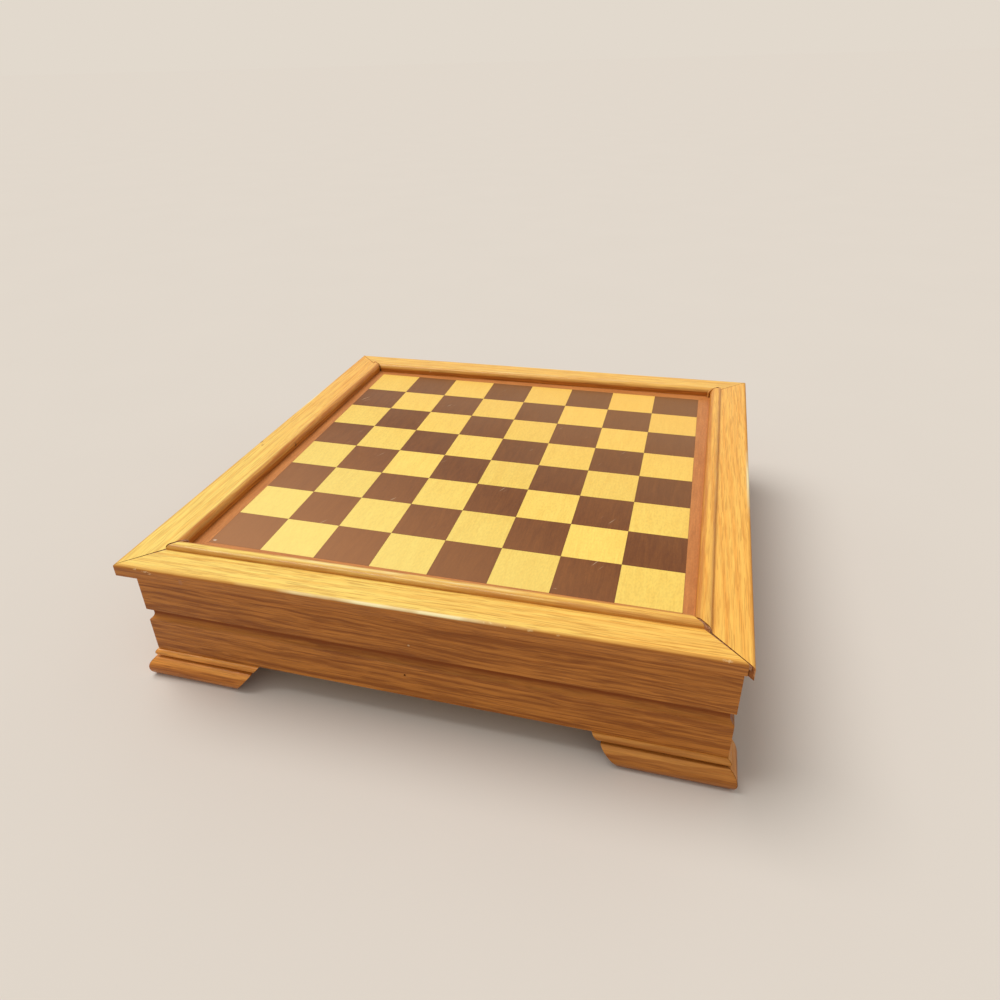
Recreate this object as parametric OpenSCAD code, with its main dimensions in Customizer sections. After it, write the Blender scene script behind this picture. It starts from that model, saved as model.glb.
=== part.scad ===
// Chess box with two hidden drawers.
//
// A mitred, beaded frame holds a veneered chessboard on a low oak case. The
// front and the back are fixed. The left and the right are drawer fronts, and
// a finger groove cut right round the case is what they are pulled by. Four
// moulded bracket feet, each a long piece and a short return, carry the case.
//
// Millimetres, +Z up. The origin is the middle of the footprint, on the
// surface that the box stands on. The player's side is -Y.

/* [Chessboard] */
// Side of one square
square_w = 30; // [24:0.5:36]
// Border stripe that shows between the squares and the frame
border_w = 6.5; // [3:0.5:12]
// Thickness of the core under the veneer
core_t = 6; // [4:0.5:8]
// Thickness of the veneer
veneer_t = 0.6; // [0.4:0.1:1.2]
// Glue line between two pieces of veneer
veneer_gap = 0.1; // [0.05:0.05:0.3]

/* [Frame rails] */
// Width of the bead that stands round the board
bead_w = 7; // [6:0.5:12]
// Height of the bead above the flat
bead_rise = 2.5; // [2:0.5:4]
// Round on the bead's edge towards the board
bead_inner_r = 2.8; // [1:0.1:3]
// Round on the bead's edge towards the flat
bead_outer_r = 1.8; // [0.5:0.1:2]
// Width of the flat outside the bead
flat_w = 17.5; // [15:0.5:30]
// Thickness of a rail at its outer edge
rail_t = 6.5; // [5:0.5:10]
// Round along the flat's outer edge
rail_edge_r = 1.2; // [0.5:0.1:3]
// Depth of the board's surface below the flat
board_drop = 3; // [1.5:0.5:4]
// How far the board runs in under the rails
board_tuck = 5; // [3:0.5:7]
// How far the rails stand out beyond the case
overhang = 4.5; // [2:0.5:6.5]
// Hairline left open along each mitre
mitre_gap = 0.2; // [0.1:0.05:0.5]
// How far the frame's mitres have opened at the board
mitre_gape = 1.2; // [0:0.1:2]
// How far the front left and back right corners are drawn out of square
frame_rack = 1.5; // [0:0.1:2]
// How far the right rail stands past its mitre with the front rail
proud_end = 2.2; // [0:0.1:3]

/* [Case] */
// Thickness of the front, the back and the drawer fronts
panel_t = 12; // [10:0.5:14]
// Height of the front and the back
panel_h = 52; // [46:1:80]
// Round along the lower edge of the front and the back
panel_edge_r = 0.8; // [0.4:0.1:2]
// Thickness of the floor
floor_t = 5; // [3:0.5:7]
// Depth of the rabbets and housings in the front and the back
housing = 4; // [2:0.5:5]
// Thickness of the centre partition
partition_t = 12; // [11:1:20]
// Width of a stretcher over a drawer
stretcher_w = 12; // [8:1:20]
// Height of a stretcher under the board
stretcher_h = 9.5; // [6:0.5:10]
// Side of the square cleats under the board
cleat_w = 8; // [5:0.5:9]
// Gap left round a piece that is let into another
fit = 0.1; // [0.05:0.05:0.2]

/* [Finger groove] */
// Height of the groove's lower edge above the case's lower edge
groove_up = 20; // [12:0.5:26]
// Height of the groove at the face
groove_h = 7; // [6:0.5:10]
// Depth of the groove
groove_d = 2.2; // [1.5:0.1:3]
// Radius of the sweep from the back of the groove out to the face
groove_r = 4; // [3:0.5:6]

/* [Drawers] */
// Gap between a drawer front and the case
drawer_gap = 0.5; // [0.3:0.1:1]
// Gap between a drawer box and the floor
drawer_rise = 0.3; // [0.2:0.1:0.5]
// Gap between a drawer's back and the partition
drawer_back_gap = 1.5; // [1:0.5:5]
// Gap between a drawer's sides and the stretcher over them
drawer_top_gap = 1.1; // [0.5:0.1:6]
// Thickness of a drawer's sides
drawer_side_t = 8; // [6:0.5:12]
// Thickness of a drawer's back
drawer_back_t = 8; // [6:0.5:12]
// Thickness of a drawer's bottom
drawer_bottom_t = 3; // [2:0.5:5]
// Height of the bottom above the lower edge of the sides
drawer_bottom_up = 3; // [2:0.5:6]
// Depth of the grooves that hold the bottom
drawer_bottom_in = 3; // [2:0.5:4]
// Thickness of the divider
divider_t = 6; // [4:0.5:10]
// Depth of the divider's top below the drawer's top
divider_drop = 3; // [1:0.5:8]
// Depth of the housings that hold the divider
divider_in = 2; // [1:0.5:4]
// Thickness of the felt
felt_t = 1.2; // [0.8:0.1:2]
// Gap between the felt and the drawer's walls
felt_gap = 0.5; // [0.2:0.1:1]

/* [Feet] */
// Height of the feet
foot_h = 15.5; // [14:0.5:20]
// How far the feet stand out beyond the case
foot_out = 5.3; // [4.5:0.1:7]
// Length of a long foot along the surface that it stands on
foot_len = 51; // [35:1:80]
// Length of a return along the surface that it stands on
return_len = 12; // [8:0.5:30]
// Lean of a foot's inner end
foot_lean = 43; // [20:1:50]
// Radius of the large round
ovolo_r = 6.5; // [5.5:0.1:7]
// Step from the large round back to the quirk
ovolo_step = 3.6; // [2.5:0.1:4.5]
// How far the foot turns in below the large round
foot_under = 2.5; // [1:0.1:4]
// Radius of the small bead at the top
foot_bead_r = 2; // [1.5:0.1:2.5]
// How far the small bead stands out beyond the case
foot_bead_out = 1.7; // [1:0.1:2]
// Height of the quirk between the two rounds
quirk_h = 0.7; // [0.4:0.1:1.5]
// Leg of the corner blocks behind the feet
block_leg = 18; // [12:1:40]
// Height of the corner blocks above the surface
block_up = 0.5; // [0.3:0.1:3]

/* [Pins] */
// Diameter of the headless pins
pin_d = 1.2; // [1:0.1:2]
// Length of a pin
pin_len = 20; // [15:1:24]
// Depth that a pin is set below the surface
pin_set = 1; // [0.5:0.1:2]
// Inset of the frame pins from the outer edge of the rails
frame_pin_in = 7; // [5:0.5:12]
// Height of the lower case pin above the case's lower edge
case_pin_low = 14; // [8:1:18]
// Height of the upper case pin above the case's lower edge
case_pin_high = 33.5; // [29:0.5:40]
// Distance of the lower case pin to the left of the partition's middle
case_pin_low_off = 4.5; // [0:0.5:4.5]
// Distance of the upper case pin to the left of the partition's middle
case_pin_high_off = 1; // [0:0.5:4.5]
// Height of the lower drawer pin above the lower edge of the side
drawer_pin_low = 12; // [9:1:15]
// Height of the upper drawer pin above the lower edge of the side
drawer_pin_high = 21; // [17:1:22]

/* [Hidden] */
$fn = 48;
// Past a face, so that a cut breaks through it
past = 1;
// Squares along one side of the board
squares = 8;

// Distances from the middle of the box to its faces
field_edge = squares * square_w / 2;
opening = field_edge + border_w;
board_edge = opening + board_tuck;
bead_edge = opening + bead_w;
rail_edge = bead_edge + flat_w;
case_face = rail_edge - overhang;
case_inside = case_face - panel_t;
groove_back = case_face - groove_d;
foot_face = case_face + foot_out;
stretcher_face = case_inside - drawer_gap;
core_edge = board_edge - fit;

// The frame out of square: its reach, a rail's turn, and a rabbet that clears the board
frame_reach = rail_edge + frame_rack;
rack_turn = asin(frame_rack / rail_edge);
rabbet_edge = board_edge + frame_rack;

// Length of a moulding before its ends are cut
run_length = 3 * rail_edge;

// Heights
floor_top = foot_h + floor_t;
rail_z = foot_h + panel_h;
flat_z = rail_z + rail_t;
bead_z = flat_z + bead_rise;
board_z = flat_z - board_drop;
veneer_z = board_z - veneer_t;
core_z = veneer_z - core_t;
groove_z = foot_h + groove_up;
drawer_z = floor_top + drawer_rise;
drawer_top = core_z - stretcher_h - drawer_top_gap;
bottom_z = drawer_z + drawer_bottom_up;
bottom_top = bottom_z + drawer_bottom_t;

// Rise of the groove's sweep, and of the feet's large round above its centre
sweep_h = sqrt(pow(groove_r, 2) - pow(groove_r - groove_d, 2));
ovolo_top = foot_h - 2 * foot_bead_r - quirk_h;
ovolo_z = ovolo_top - sqrt(pow(ovolo_r, 2) - pow(ovolo_r - ovolo_step, 2));

// Drawer box, from the partition outwards
drawer_back_x = partition_t / 2 + drawer_back_gap;
drawer_inside_x = drawer_back_x + drawer_back_t;
drawer_edge_y = case_inside - drawer_gap;
drawer_inside_y = drawer_edge_y - drawer_side_t;

// Angles, in degrees about Z, that turn what is drawn for the front to each side
FRONT = 0;
RIGHT = 90;
BACK = 180;
LEFT = 270;

OAK = "#d9a05a";
OAK_DARK = "#b9773a";
MAPLE = "#eed079";
WALNUT = "#7a4f35";
BORDER = "#b0683f";
PINE = "#e2c48c";
PLY = "#d8bd8c";
FELT = "#2c5340";
STEEL = "#a8a8a6";

// ---- Helpers ----------------------------------------------------------

// Turns what is drawn for the front round to another side.
module on_side(side) {
    rotate([0, 0, side]) children();
}

// Runs a section along the front. The section's X is the distance out from the
// middle of the box, and its Y is the height.
module run(length) {
    rotate([90, 0, -90]) linear_extrude(length, center = true) children();
}

// The front quarter of the plan, between its two mitre lines.
module mitre_wedge(gap) {
    reach = run_length / 2;
    translate([0, -gap / sqrt(2), -past])
        linear_extrude(bead_z + 2 * past)
            polygon([[0, 0], [-reach, -reach], [reach, -reach]]);
}

// Waste outside a quarter round on the corner at the origin: turn 0 is an upper
// right corner, 1 an upper left one and 3 a lower right one.
module corner_waste(radius, turn) {
    rotate(90 * turn) translate([-radius, -radius]) difference() {
        square(radius + past);
        circle(radius);
    }
}

// A block between two corners.
module block(low, high) {
    translate(low) cube(high - low);
}

// A pin, or its bore, that goes in along -Z from a surface at the origin.
module pin() {
    translate([0, 0, -pin_set - pin_len]) cylinder(h = pin_len, d = pin_d);
}

module pin_bore() {
    depth = pin_set + pin_len;
    translate([0, 0, -depth]) cylinder(h = depth + past, d = pin_d);
}

// ---- Finger groove ----------------------------------------------------

// A square undercut at the top, and a hollow sweep out to the face below it.
module groove_section() {
    translate([groove_back, groove_z + sweep_h])
        square([groove_d + past, groove_h - sweep_h]);
    intersection() {
        translate([groove_back + groove_r, groove_z + sweep_h]) circle(groove_r);
        translate([groove_back, groove_z - past]) square([groove_d + past, sweep_h + past]);
    }
}

// The groove along one side, mitred so that it turns each corner of the case.
module groove(side) {
    on_side(side) intersection() {
        run(run_length) groove_section();
        mitre_wedge(0);
    }
}

// ---- Chessboard -------------------------------------------------------

module board_core() {
    color(PLY)
        block([-core_edge, -core_edge, core_z], [core_edge, core_edge, veneer_z]);
}

// The squares of one colour. The corner to the front left is dark.
module board_squares(parity) {
    for (column = [0 : squares - 1])
        for (row = [0 : squares - 1])
            if ((column + row) % 2 == parity)
                translate([
                    column * square_w - field_edge + veneer_gap / 2,
                    row * square_w - field_edge + veneer_gap / 2,
                    veneer_z
                ])
                    cube([square_w - veneer_gap, square_w - veneer_gap, veneer_t]);
}

module dark_squares() {
    color(WALNUT) board_squares(0);
}

module light_squares() {
    color(MAPLE) board_squares(1);
}

module border_strip(side) {
    color(BORDER) on_side(side) intersection() {
        run(run_length)
            translate([field_edge + veneer_gap / 2, veneer_z])
                square([core_edge - field_edge - veneer_gap / 2, veneer_t]);
        mitre_wedge(veneer_gap);
    }
}

// ---- Frame ------------------------------------------------------------

module rail_section() {
    difference() {
        polygon([
            [opening, board_z], [rabbet_edge, board_z], [rabbet_edge, rail_z],
            [rail_edge, rail_z], [rail_edge, flat_z], [bead_edge, flat_z],
            [bead_edge, bead_z], [opening, bead_z]
        ]);
        translate([opening, bead_z]) corner_waste(bead_inner_r, 1);
        translate([bead_edge, bead_z]) corner_waste(bead_outer_r, 0);
        translate([rail_edge, flat_z]) corner_waste(rail_edge_r, 0);
    }
}

// Half the length of a rail on a line at some distance out from the middle.
function rail_half(out) =
    out - (mitre_gap + mitre_gape * (frame_reach - out) / (frame_reach - opening)) / sqrt(2);

// The plan of the front rail between its mitres. Each end can stand past its mitre.
module rail_plan(left_past, right_past) {
    near = opening - frame_rack - past;
    far = frame_reach + past;
    translate([0, 0, rail_z - past]) linear_extrude(bead_z - rail_z + 2 * past) polygon([
        [-rail_half(near) - left_past, -near], [-rail_half(far) - left_past, -far],
        [rail_half(far) + right_past, -far], [rail_half(near) + right_past, -near]
    ]);
}

// The frame pins go through the side rails into the ends of the front and back ones.
module at_frame_pins() {
    for (side = [RIGHT, LEFT])
        on_side(side) rotate([0, 0, -rack_turn])
            for (end = [-1, 1])
                translate([
                    frame_rack + end * (rail_edge - frame_pin_in),
                    -rail_edge,
                    rail_z + rail_t / 2
                ])
                    rotate([90, 0, 0]) children();
}

// The rails are turned between mitres that stay on the box's diagonals.
module rail(side, turn, left_past = 0, right_past = 0) {
    color(OAK) difference() {
        on_side(side) intersection() {
            rotate([0, 0, turn]) run(run_length) rail_section();
            rail_plan(left_past, right_past);
        }
        at_frame_pins() pin_bore();
    }
}

module frame_pins() {
    color(STEEL) at_frame_pins() pin();
}

// ---- Case -------------------------------------------------------------

// The floor, or the rabbets cut for it when gap isn't 0.
module floor_blank(gap) {
    block(
        [-stretcher_face - gap, -case_inside - housing - gap, foot_h],
        [stretcher_face + gap, case_inside + housing + gap, floor_top + gap]
    );
}

// A stretcher, with a lip outside the board that carries the rail above it.
module stretcher_blank(side, gap) {
    reach = case_inside + housing + gap;
    on_side(side) run(2 * reach) union() {
        translate([stretcher_face - stretcher_w - gap, core_z - stretcher_h])
            square([stretcher_w + 2 * gap, stretcher_h]);
        translate([board_edge, core_z])
            square([stretcher_face + gap - board_edge, rail_z - core_z]);
    }
}

// Two pins hold the partition at each end, a little to the left of its middle.
module at_case_pins() {
    places = [[case_pin_low_off, case_pin_low], [case_pin_high_off, case_pin_high]];
    for (side = [FRONT, BACK])
        on_side(side) for (place = places)
            translate([-place.x, -case_face, foot_h + place.y])
                rotate([90, 0, 0]) children();
}

module fixed_panel(side) {
    color(OAK_DARK) difference() {
        on_side(side) run(2 * case_face) difference() {
            translate([case_inside, foot_h]) square([panel_t, panel_h]);
            translate([case_face, foot_h]) corner_waste(panel_edge_r, 3);
        }
        groove(side);
        groove(RIGHT);
        groove(LEFT);
        floor_blank(fit);
        stretcher_blank(RIGHT, fit);
        stretcher_blank(LEFT, fit);
        at_case_pins() pin_bore();
    }
}

module case_floor() {
    color(PLY) floor_blank(0);
}

module centre_partition() {
    half = partition_t / 2;
    color(PINE) difference() {
        block([-half, -case_inside, floor_top], [half, case_inside, core_z]);
        at_case_pins() pin_bore();
    }
}

module stretcher(side) {
    color(PINE) stretcher_blank(side, 0);
}

// Cleat along the front or the back, in the left or the right half of the case.
module cleat(front_back, left_right) {
    long = stretcher_face - stretcher_w - partition_t / 2;
    color(PINE) translate([
        left_right * (partition_t / 2 + long / 2),
        front_back * (case_inside - cleat_w / 2),
        core_z - cleat_w / 2
    ])
        cube([long, cleat_w, cleat_w], center = true);
}

module case_pins() {
    color(STEEL) at_case_pins() pin();
}

// ---- Feet -------------------------------------------------------------

module foot_section() {
    neck = case_face + foot_bead_out - foot_bead_r;
    intersection() {
        translate([case_inside, 0]) square([foot_face - case_inside + past, foot_h]);
        union() {
            translate([case_inside, 0]) square([neck - case_inside, foot_h]);
            translate([neck, foot_h - foot_bead_r]) circle(foot_bead_r);
            translate([case_inside, 0])
                square([foot_face - foot_under - case_inside, ovolo_z]);
            intersection() {
                translate([foot_face - ovolo_r, ovolo_z]) circle(ovolo_r);
                translate([case_inside, 0]) square([2 * panel_t, ovolo_top]);
            }
        }
    }
}

// One piece of a foot. end is -1 at the left end of its side, and 1 at the right.
module foot_piece(side, end, length) {
    toe = foot_face - length;
    top = toe - foot_h * tan(foot_lean);
    color(OAK) on_side(side) intersection() {
        run(run_length) foot_section();
        mitre_wedge(mitre_gap);
        rotate([90, 0, 0]) linear_extrude(2 * foot_face + past) polygon([
            [end * (foot_face + past), 0], [end * toe, 0],
            [end * top, foot_h], [end * (foot_face + past), foot_h]
        ]);
    }
}

// Block glued into the corner behind a foot, at the left end of a side.
module corner_block(side) {
    color(PINE) on_side(side) translate([-case_inside, -case_inside, block_up])
        linear_extrude(foot_h - block_up)
            polygon([[0, 0], [block_leg, 0], [0, block_leg]]);
}

// ---- Drawers ----------------------------------------------------------
// Drawn for the right drawer. The left one is the same drawer turned half round.

// The bottom, or the grooves cut for it when gap isn't 0.
module drawer_bottom_blank(gap) {
    reach_y = drawer_inside_y + drawer_bottom_in + gap;
    block(
        [drawer_back_x - gap, -reach_y, bottom_z],
        [case_inside + drawer_bottom_in + gap, reach_y, bottom_top + gap]
    );
}

// A side, or the housing cut for it. hand is -1 for the side at -Y.
module drawer_side_blank(hand, gap) {
    middle = hand * (drawer_edge_y - drawer_side_t / 2);
    half = drawer_side_t / 2 + gap;
    block(
        [drawer_back_x, middle - half, drawer_z],
        [case_inside + housing + gap, middle + half, drawer_top + gap]
    );
}

// The divider, or the housings cut for it when gap isn't 0.
module divider_blank(gap) {
    half = divider_t / 2 + gap;
    block(
        [drawer_inside_x - divider_in - gap, -half, bottom_top],
        [case_inside + divider_in + gap, half, drawer_top - divider_drop + gap]
    );
}

module at_drawer_pins() {
    for (hand = [-1, 1])
        for (height = [drawer_pin_low, drawer_pin_high])
            translate([
                drawer_back_x + drawer_back_t / 2,
                hand * drawer_edge_y,
                drawer_z + height
            ])
                rotate([-90 * hand, 0, 0]) children();
}

module drawer_front() {
    color(OAK_DARK) difference() {
        block(
            [case_inside, -drawer_edge_y, foot_h + drawer_gap],
            [case_face, drawer_edge_y, rail_z - drawer_gap]
        );
        groove(RIGHT);
        drawer_side_blank(-1, fit);
        drawer_side_blank(1, fit);
        drawer_bottom_blank(fit);
        divider_blank(fit);
    }
}

module drawer_side(hand) {
    color(PINE) difference() {
        drawer_side_blank(hand, 0);
        drawer_bottom_blank(fit);
        at_drawer_pins() pin_bore();
    }
}

module drawer_back() {
    color(PINE) difference() {
        block(
            [drawer_back_x, -drawer_inside_y, bottom_top],
            [drawer_inside_x, drawer_inside_y, drawer_top]
        );
        divider_blank(fit);
        at_drawer_pins() pin_bore();
    }
}

module drawer_bottom() {
    color(PLY) drawer_bottom_blank(0);
}

module drawer_divider() {
    color(PINE) divider_blank(0);
}

// One piece of felt in each compartment.
module drawer_felt() {
    long = case_inside - drawer_inside_x - 2 * felt_gap;
    wide = drawer_inside_y - divider_t / 2 - 2 * felt_gap;
    color(FELT) for (hand = [-1, 1])
        translate([
            drawer_inside_x + felt_gap + long / 2,
            hand * (divider_t / 2 + felt_gap + wide / 2),
            bottom_top + felt_t / 2
        ])
            cube([long, wide, felt_t], center = true);
}

module drawer_pins() {
    color(STEEL) at_drawer_pins() pin();
}

module left() {
    rotate([0, 0, 180]) children();
}

// ---- Assembly ---------------------------------------------------------

fixed_panel(FRONT);  // front_panel
fixed_panel(BACK);  // back_panel
case_floor();
centre_partition();
stretcher(LEFT);  // stretcher_left
stretcher(RIGHT);  // stretcher_right
cleat(-1, -1);  // cleat_front_left
cleat(-1, 1);  // cleat_front_right
cleat(1, -1);  // cleat_back_left
cleat(1, 1);  // cleat_back_right
rail(FRONT, rack_turn, 0, -proud_end);  // rail_front
rail(RIGHT, -rack_turn, proud_end);  // rail_right
rail(BACK, rack_turn);  // rail_back
rail(LEFT, -rack_turn);  // rail_left
frame_pins();
case_pins();
board_core();
border_strip(FRONT);  // border_front
border_strip(RIGHT);  // border_right
border_strip(BACK);  // border_back
border_strip(LEFT);  // border_left
light_squares();
dark_squares();
foot_piece(FRONT, -1, foot_len);  // foot_front_left
foot_piece(FRONT, 1, foot_len);  // foot_front_right
foot_piece(BACK, 1, foot_len);  // foot_back_left
foot_piece(BACK, -1, foot_len);  // foot_back_right
foot_piece(LEFT, 1, return_len);  // return_front_left
foot_piece(RIGHT, -1, return_len);  // return_front_right
foot_piece(LEFT, -1, return_len);  // return_back_left
foot_piece(RIGHT, 1, return_len);  // return_back_right
corner_block(FRONT);  // block_front_left
corner_block(RIGHT);  // block_front_right
corner_block(LEFT);  // block_back_left
corner_block(BACK);  // block_back_right
left() drawer_front();  // left_drawer_front
left() drawer_side(1);  // left_drawer_side_front
left() drawer_side(-1);  // left_drawer_side_back
left() drawer_back();  // left_drawer_back
left() drawer_bottom();  // left_drawer_bottom
left() drawer_divider();  // left_drawer_divider
left() drawer_felt();  // left_drawer_felt
left() drawer_pins();  // left_drawer_pins
drawer_front();  // right_drawer_front
drawer_side(-1);  // right_drawer_side_front
drawer_side(1);  // right_drawer_side_back
drawer_back();  // right_drawer_back
drawer_bottom();  // right_drawer_bottom
drawer_divider();  // right_drawer_divider
drawer_felt();  // right_drawer_felt
drawer_pins();  // right_drawer_pins
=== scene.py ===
"""Dresses the packed chess box: lacquered oak, inlaid board, felted drawers, and a plain stage."""

import math
from typing import NamedTuple

import bmesh
import bpy
from bpy.props import FloatProperty, FloatVectorProperty, PointerProperty
from mathutils import Matrix, Vector, noise


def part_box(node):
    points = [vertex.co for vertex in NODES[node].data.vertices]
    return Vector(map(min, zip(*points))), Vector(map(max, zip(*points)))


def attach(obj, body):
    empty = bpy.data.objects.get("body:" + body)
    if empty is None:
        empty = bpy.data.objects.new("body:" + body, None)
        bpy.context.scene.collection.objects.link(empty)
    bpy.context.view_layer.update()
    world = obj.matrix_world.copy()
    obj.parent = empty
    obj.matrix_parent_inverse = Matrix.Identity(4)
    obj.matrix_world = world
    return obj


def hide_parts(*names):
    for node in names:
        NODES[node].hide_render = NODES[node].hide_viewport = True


bl_info = {
    "name": "Chess box with drawers",
    "version": (1, 0, 0),
    "blender": (4, 5, 0),
    "location": "3D View > Sidebar > Chess Box",
    "description": "Finishes a chess box's wood, felt and pins, and sets up its stage",
    "category": "Object",
}

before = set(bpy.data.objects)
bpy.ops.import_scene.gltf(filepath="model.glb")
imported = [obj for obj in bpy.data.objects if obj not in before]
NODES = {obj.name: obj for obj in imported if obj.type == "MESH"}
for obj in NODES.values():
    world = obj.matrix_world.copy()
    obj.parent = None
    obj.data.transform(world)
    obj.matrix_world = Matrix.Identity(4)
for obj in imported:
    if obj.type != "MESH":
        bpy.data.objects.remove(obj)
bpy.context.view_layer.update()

MM = 0.001
CORNERS = ("front_left", "front_right", "back_left", "back_right")
HANDS = ("left", "right")
ALONG_X = 0.0
ALONG_Y = math.radians(-90)

# Sizes that the finishes follow. The frame gives the case's face and the squares
CASE_FACE = -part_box("front_panel")[0].y
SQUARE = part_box("light_squares")[1].x / 4
FLAT_TOP = 74 * MM
FLAT_WIDE = 17.5 * MM
GROOVE_LOW = 35.5 * MM
GROOVE_HIGH = 42.5 * MM
GROOVE_DEEP = 2.2 * MM
BEAD_TOP = 76.5 * MM
BEAD_OUT = 133.5 * MM
BEAD_OUT_R = 1.8 * MM
BEAD_IN_R = 2.8 * MM
OPENING = 126.5 * MM
FRAME_OUT = 152.5 * MM
QUIRK_LOW = 10.8 * MM
QUIRK_HIGH = 11.5 * MM
# How far the pins are set below the wood, and the right rail stands past the front one
PIN_SET = 1 * MM
PROUD_END = 2.2 * MM
# The mitres' gap at the outer corner, and how much wider it is at the board
MITRE_SHUT = 0.2 * MM
MITRE_OPEN = 1.2 * MM
# Glue that has sunk less than this was sanded and lacquered with the rails
FLUSH = 0.1 * MM

# Ways across the box: colour is painted paler towards the front left corner, as painted glare, and
# given a tone of its own towards the far corner
GLARE_CORNER = (-0.6, -0.8, 0.0)
FAR_CORNER = (0.45, 0.9, 0.0)

# Where the pith of the tree lies, from the middle of a moulding and of a panel
MOULDING_PITH = (0.0, 0.085, 0.012)
PANEL_PITH = (0.0, 0.075, -0.035)


def linear(code):
    """A colour written as sRGB hex, as the linear values that Blender reads."""
    values = [int(code[i : i + 2], 16) / 255 for i in (1, 3, 5)]
    return tuple(v / 12.92 if v <= 0.04045 else ((v + 0.055) / 1.055) ** 2.4 for v in values)


def opaque(colour):
    """A colour with its alpha, as nodes read it."""
    return (*colour[:3], 1.0)


def add(tree, kind, *values, named=None, **settings):
    """Adds a node. Its kind is written without ShaderNode.

    The values go to the inputs in use, in order, and the named ones to the inputs of that name.
    Each is a plain value, a socket, or a node, which stands for its first output in use.
    """
    made = tree.nodes.new(kind if "Node" in kind else f"ShaderNode{kind}")
    for name, value in settings.items():
        setattr(made, name, value)
    given = list(zip((socket for socket in made.inputs if socket.enabled), values))
    given += [(made.inputs[name], value) for name, value in (named or {}).items()]
    for socket, value in given:
        if isinstance(value, bpy.types.Node):
            value = next(output for output in value.outputs if output.enabled)
        if isinstance(value, bpy.types.NodeSocket):
            tree.links.new(value, socket)
        else:
            socket.default_value = value
    return made


# ---- Settings -------------------------------------------------------------


def colour_setting(name, description, default):
    """A colour that a user may change. Its default is sRGB hex."""
    return FloatVectorProperty(name=name, description=description, subtype="COLOR", size=3,
                               min=0, max=1, default=linear(default))


class ChessBoxOak(bpy.types.PropertyGroup):
    """Oak of the rails, the feet and the case."""

    # Painted light: the upward faces of the rails are paler and yellower than the upright ones,
    # partly sun bleaching and partly painted light from above
    moulding: colour_setting(
        name="Upward face", description="Late wood that light has bleached", default="#FBCE6C")
    moulding_early: colour_setting(
        name="Upward face, early wood", default="#EDAB4C",
        description="Porous early wood that light has bleached")
    edge: colour_setting(
        name="Upright face", description="Late wood that kept the stain's red", default="#C67C2E")
    edge_early: colour_setting(
        name="Upright face, early wood", default="#9A5614",
        description="Porous early wood that kept the stain's red")
    # Painted light: pores on upward faces are paler as well
    pore_top: colour_setting(
        name="Pore, upward face", default="#C0802F",
        description="Stain in the pores of a bleached face")
    pore: colour_setting(
        name="Pore", description="Stain and dirt in the open pores", default="#84450E")
    # Cut ends are darker: partly the stain they drink, partly painted shade
    end: colour_setting(
        name="End grain", description="Cut ends, which drink the most stain", default="#804214")
    # Painted shade: the darker tone of the finger groove, most of all under its lip
    dirt: colour_setting(
        name="Dirt", default="#864208",
        description="Dust and old polish in quirks and the finger groove")
    # Painted light: the feet's upward faces are paler than the upright ones, partly sun bleaching
    # and partly painted light
    foot: colour_setting(
        name="Foot, upward face", default="#E29C48",
        description="Late wood on the rounds of the feet")
    foot_early: colour_setting(
        name="Foot, early wood", default="#C0752A",
        description="Porous early wood on the rounds of the feet")
    # Painted shade at the foot and on the outer side of the bead, laid half over the outer arris
    # too
    quirk: colour_setting(
        name="Quirk", description="Old polish at the foot of the bead", default="#C07A34")
    # Painted shade on the bead's inner side
    slope: colour_setting(
        name="Bead, inner side", default="#BE6E24",
        description="The side of the bead that looks on to the board")
    # Painted highlight on the crown and outer arris of the rails, partly rubbed lacquer
    rubbed: colour_setting(
        name="Rubbed arris", default="#FFF0B8",
        description="Thin pale lacquer on the rails' outer arris")
    raw: colour_setting(
        name="Bare wood", description="Wood where the lacquer has chipped off", default="#F7DDA8")
    ring: FloatProperty(
        name="Growth ring", description="Width of one year's growth",
        unit="LENGTH", min=0.0005, max=0.02, default=2.6 * MM)
    pore_width: FloatProperty(
        name="Pore width", description="Drawn wider than a real pore of 0.2 mm, so that it shows",
        unit="LENGTH", min=0.0001, max=0.002, default=0.36 * MM)
    pore_length: FloatProperty(
        name="Pore length", description="Length of a pore cut open along the grain",
        unit="LENGTH", min=0.001, max=0.05, default=11 * MM)


class ChessBoxBoard(bpy.types.PropertyGroup):
    """Veneers of the chessboard."""

    light: colour_setting(
        name="Light squares", description="Yellowed maple", default="#FFDC6C")
    dark: colour_setting(
        name="Dark squares", description="Walnut", default="#824C1E")
    border: colour_setting(
        name="Border", description="Stripe round the squares", default="#D48A4A")


class ChessBoxInside(bpy.types.PropertyGroup):
    """What shows when a drawer is open, and below."""

    pine: colour_setting(
        name="Pine", default="#E3C48D",
        description="Planed pine of the drawer sides and the framing")
    ply: colour_setting(
        name="Plywood", description="Sanded plywood of the bottoms", default="#D9BE8E")
    felt: colour_setting(
        name="Felt", description="Green wool felt", default="#2F5A42")
    felt_waves: FloatProperty(
        name="Felt unevenness", description="How far the felt rises where it isn't stuck down",
        unit="LENGTH", min=0, max=0.002, default=0.35 * MM)
    felt_step: FloatProperty(
        name="Felt mesh", description="Distance between two points of the felt's mesh",
        unit="LENGTH", min=0.001, max=0.01, default=2.4 * MM)


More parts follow.
